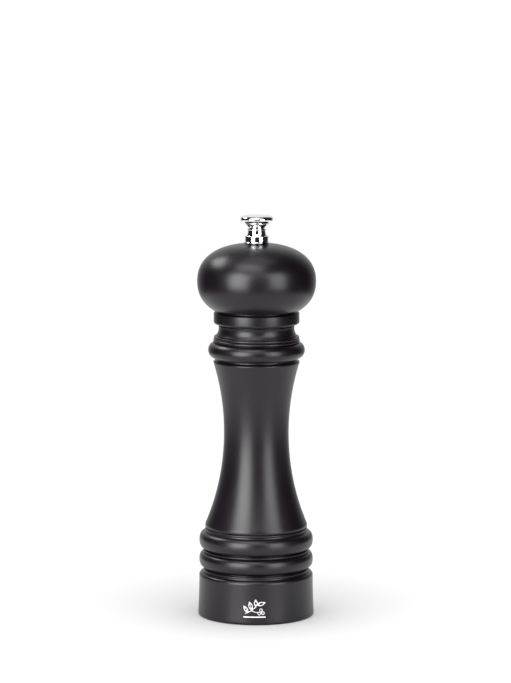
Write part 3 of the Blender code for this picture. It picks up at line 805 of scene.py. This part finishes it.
def make_mechanism():
    turned_piece("casing", "stator_casing", "mill_body", ZINC, 0.5 * MM, 0.3 * MM)
    softened("bridge", "upper_bridge", "mill_body", ZINC, 0.15 * MM)
    softened("bar", "retaining_bar", "mill_body", ZINC, 0.15 * MM)
    softened("fixed_ring", "stator", "mill_body", HARD_STEEL, 0.05 * MM)
    softened("grinding_cone", "rotor", "spindle", HARD_STEEL, 0.05 * MM)


# ---------------------------------------------------------------- the printed sprig


DRUM_OUTLINE = [point for point, worn in wood_outline("body")]


def drum_radius(height):
    """Radius of the lacquered drum at a height, from the outer part of the body's outline."""
    outer = [point for point in DRUM_OUTLINE if point.x > 24 * MM and point.y < 18 * MM]
    outer.sort(key=lambda point: point.y)
    for below, above in zip(outer, outer[1:]):
        if below.y <= height <= above.y:
            share = (height - below.y) / max(above.y - below.y, MERGE)
            return below.x + (above.x - below.x) * share
    return outer[-1].x


def leaf(base, tip, width, line=0.3):
    """The outline of a pointed oval leaf from its base to its tip.

    Like the other shapes it is a function of the share along its line and the share across it.
    """
    base, tip = Vector(base), Vector(tip)
    along = tip - base
    across = Vector((-along.y, along.x)).normalized()

    def at(s, t):
        side = 1 if s < 0.5 else -1
        share = 1 - abs(1 - 2 * s)
        end_inset = 2 * line * t / along.length
        half = max(0.5 * width * math.sin(math.pi * share**0.85) - line * t, 0.0)
        return base + along * (end_inset + (1 - 2 * end_inset) * share) + across * (half * side)

    return at, 36, 1


def corn(centre, radius, line=0.28):
    """A peppercorn's round outline."""

    def at(s, t):
        angle = 2 * math.pi * s
        return Vector(centre) + Vector((math.cos(angle), math.sin(angle))) * (radius - line * t)

    return at, 24, 1


def stroke(start, bend, end, width):
    """A curved line of even width."""
    start, bend, end = Vector(start), Vector(bend), Vector(end)

    def at(s, t):
        centre = (1 - s) ** 2 * start + 2 * s * (1 - s) * bend + s * s * end
        direction = (1 - s) * (bend - start) + s * (end - bend)
        across = Vector((-direction.y, direction.x)).normalized()
        return centre + across * width * (t - 0.5)

    return at, 24, 1


def sprig_shapes():
    """A pepper sprig over a plain rule, in millimetres from the middle of the print."""
    return (
        stroke((-4.2, -2.0), (-0.6, -1.0), (2.2, 3.0), 0.32),
        stroke((-1.2, -0.75), (0.8, -1.9), (2.4, -1.3), 0.28),
        leaf((-2.9, -1.45), (-4.9, 1.5), 1.7),
        leaf((-1.2, -0.5), (-2.3, 3.4), 1.9),
        leaf((0.7, 1.0), (0.5, 4.4), 1.6),
        leaf((1.3, 1.7), (5.0, 3.0), 1.7),
        stroke((-3.1, -1.1), (-3.9, 0.1), (-4.4, 0.8), 0.2),
        stroke((-1.4, 0.1), (-1.8, 1.4), (-2.0, 2.4), 0.2),
        corn((2.9, -0.5), 0.75),
        corn((3.75, -1.85), 0.75),
        corn((2.15, -2.0), 0.75),
        stroke((-5.0, -3.6), (0.0, -3.6), (5.0, -3.6), 0.5),
    )


def make_print():
    centre_x, centre_z = -0.7 * MM, 7.4 * MM
    lift, thickness = 0.02 * MM, 0.03 * MM
    bm = bmesh.new()
    for at, rows, columns in sprig_shapes():
        grid = []
        for i in range(rows + 1):
            line = []
            for j in range(columns + 1):
                place = at(i / rows, j / columns) * MM
                z = centre_z + place.y
                radius = drum_radius(z) + lift
                angle = (centre_x + place.x) / radius
                line.append(bm.verts.new((radius * math.sin(angle), -radius * math.cos(angle), z)))
            grid.append(line)
        for low, high in zip(grid, grid[1:]):
            for j in range(columns):
                bm.faces.new((low[j], low[j + 1], high[j + 1], high[j]))
    bmesh.ops.remove_doubles(bm, verts=bm.verts, dist=MERGE)
    bmesh.ops.dissolve_degenerate(bm, edges=bm.edges, dist=MERGE)
    for face in bm.faces:
        face.normal_update()
        if face.normal.y > 0:
            face.normal_flip()
    mesh = bpy.data.meshes.new("printed_sprig")
    bm.to_mesh(mesh)
    bm.free()
    piece = new_piece("printed_sprig", mesh, "mill_body", (INK,))
    solid = piece.modifiers.new("ink", "SOLIDIFY")
    solid.thickness = thickness
    solid.offset = 1.0


make_wood()
make_knob()
make_knob_bush()
make_shaft()
make_screws()
make_drive_plate()
make_thrust_washer()
make_washer_and_clip()
make_spring()
make_mechanism()
make_print()


# ---------------------------------------------------------------- floor, light and camera


def make_floor():
    """A pale disc with a painted shadow: its colour is greyer round the foot and behind it."""
    radius, sides = 420 * MM, 96
    # Sizes of the painted shadow: how far behind the foot it is centred, its grey core, and where it has
    # faded to pale.
    behind, painted_shadow_within, painted_shadow_reach = 30 * MM, 20 * MM, 110 * MM
    mesh = bpy.data.meshes.new("floor")
    angles = [2 * math.pi * k / sides for k in range(sides)]
    rim = [(radius * math.cos(angle), radius * math.sin(angle), 0) for angle in angles]
    mesh.from_pydata(rim, [], [tuple(range(sides))])
    floor = bpy.data.objects.new("floor", mesh)
    bpy.context.scene.collection.objects.link(floor)
    nodes = Nodes(bpy.data.materials.new("floor_painted_shadow"))
    place = nodes.add("ShaderNodeTexCoord").outputs["Object"]
    # The painted shadow is centred a little way behind the foot.
    shaded = nodes.add("ShaderNodeMapping", Vector=place, Location=(0, -behind, 0)).outputs["Vector"]
    away = nodes.add("ShaderNodeVectorMath", {"operation": "LENGTH"}, Vector=shaded).outputs["Value"]
    # Painted shadow: grey near that centre, fading to pale further out; the noise only makes the tone
    # uneven.
    painted_shadow_fade = nodes.ranged(away, painted_shadow_within, painted_shadow_reach, 0.0, 0.9)
    uneven = nodes.maths("MULTIPLY", nodes.noise(400 * MM, detail=2), 0.1)
    share = nodes.maths("ADD", painted_shadow_fade, uneven)
    nodes.set(
        Base_Color=nodes.mixed(share, rgb(0.76, 0.76, 0.76), rgb(0.94, 0.94, 0.94)),
        Roughness=0.9,
        Specular_IOR_Level=0.0,
    )
    mesh.materials.append(nodes.owner)
    return floor


def softbox(name, azimuth, elevation, width, height, radiance, distance=1.5):
    """A rectangular light, unseen by the camera. Azimuth 0 is the camera's side, positive to its right."""
    azimuth, elevation = math.radians(azimuth), math.radians(elevation)
    level = math.cos(elevation)
    away = Vector((math.sin(azimuth) * level, -math.cos(azimuth) * level, math.sin(elevation)))
    data = bpy.data.lights.new(name, "AREA")
    data.shape = "RECTANGLE"
    data.size = width
    data.size_y = height
    data.energy = radiance * math.pi * width * height
    light = bpy.data.objects.new(name, data)
    bpy.context.scene.collection.objects.link(light)
    light.location = Vector((0, 0, 0.1)) + away * distance
    light.rotation_euler = away.to_track_quat("Z", "Y").to_euler()
    light.visible_camera = False
    return light


def linked(light, floor, link_state):
    """Lets a light reach only the floor (INCLUDE), or everything but the floor (EXCLUDE)."""
    group = bpy.data.collections.new(f"{light.name}_reach")
    group.objects.link(floor)
    group.collection_objects[0].light_linking.link_state = link_state
    light.light_linking.receiver_collection = group


def make_lights(floor):
    """Softboxes for the mill, and one even light above that keeps the floor white round its foot."""
    softboxes = (
        softbox("left_softbox", azimuth=-36, elevation=14.5, width=0.92, height=1.22, radiance=9.0),
        softbox("left_upper_softbox", azimuth=-22, elevation=61, width=1.1, height=0.7, radiance=3.6),
        softbox("right_softbox", azimuth=42, elevation=14.5, width=0.76, height=1.22, radiance=5.4),
        softbox("front_fill", azimuth=8, elevation=36, width=0.9, height=0.4, radiance=1.5),
        softbox("rear_left_softbox", azimuth=-122, elevation=43, width=0.75, height=0.42, radiance=7.5),
        softbox("top_softbox", azimuth=-40, elevation=86, width=0.9, height=1.1, radiance=1.3),
    )
    for light in softboxes:
        linked(light, floor, "EXCLUDE")
    above = softbox("floor_light", 0, elevation=76, width=9, height=9, radiance=1.38, distance=1.9)
    linked(above, floor, "INCLUDE")


def make_world():
    """A dark room with a white wall behind the mill; the camera sees only pure white."""
    world = bpy.data.worlds.new("studio")
    bpy.context.scene.world = world
    nodes = Nodes(world)
    direction = nodes.add("ShaderNodeTexCoord").outputs["Generated"]
    parts = nodes.add("ShaderNodeSeparateXYZ", Vector=direction).outputs
    around = nodes.maths("ABSOLUTE", nodes.maths("ARCTAN2", parts["X"], parts["Y"]))
    share_of_half_turn = nodes.maths("DIVIDE", around, math.pi)
    wall = nodes.ramp(share_of_half_turn, ((0.0, 0.85), (0.08, 0.85), (0.3, 0.02), (1.0, 0.02)))
    low = nodes.ranged(parts["Z"], 0.35, 0.75, 1.0, 0.3)
    shade = nodes.maths("MULTIPLY", wall, low)
    room = nodes.mixed(shade, rgb(0.0, 0.0, 0.0), rgb(1.0, 1.0, 1.0))
    is_seen = nodes.add("ShaderNodeLightPath").outputs["Is Camera Ray"]
    background = nodes.tree.nodes["Background"]
    nodes.join(nodes.mixed(is_seen, room, rgb(1.0, 1.0, 1.0)), background.inputs["Color"])


def make_camera():
    """A long lens level with the mill's upper half, looking slightly down."""
    data = bpy.data.cameras.new("camera")
    data.sensor_fit = "VERTICAL"
    data.sensor_height = 36.0
    data.lens = 189.75
    camera = bpy.data.objects.new("camera", data)
    bpy.context.scene.collection.objects.link(camera)
    aside, distance, height = -0.45 * MM, 1592 * MM, 347 * MM
    down, roll = math.radians(7.982), math.radians(0.107)
    aim = Matrix.Rotation(math.pi / 2 - down, 4, "X") @ Matrix.Rotation(roll, 4, "Z")
    camera.matrix_world = Matrix.Translation((aside, -distance, height)) @ aim
    bpy.context.scene.camera = camera


make_lights(make_floor())
make_world()
make_camera()
bpy.context.scene.view_settings.view_transform = "Standard"
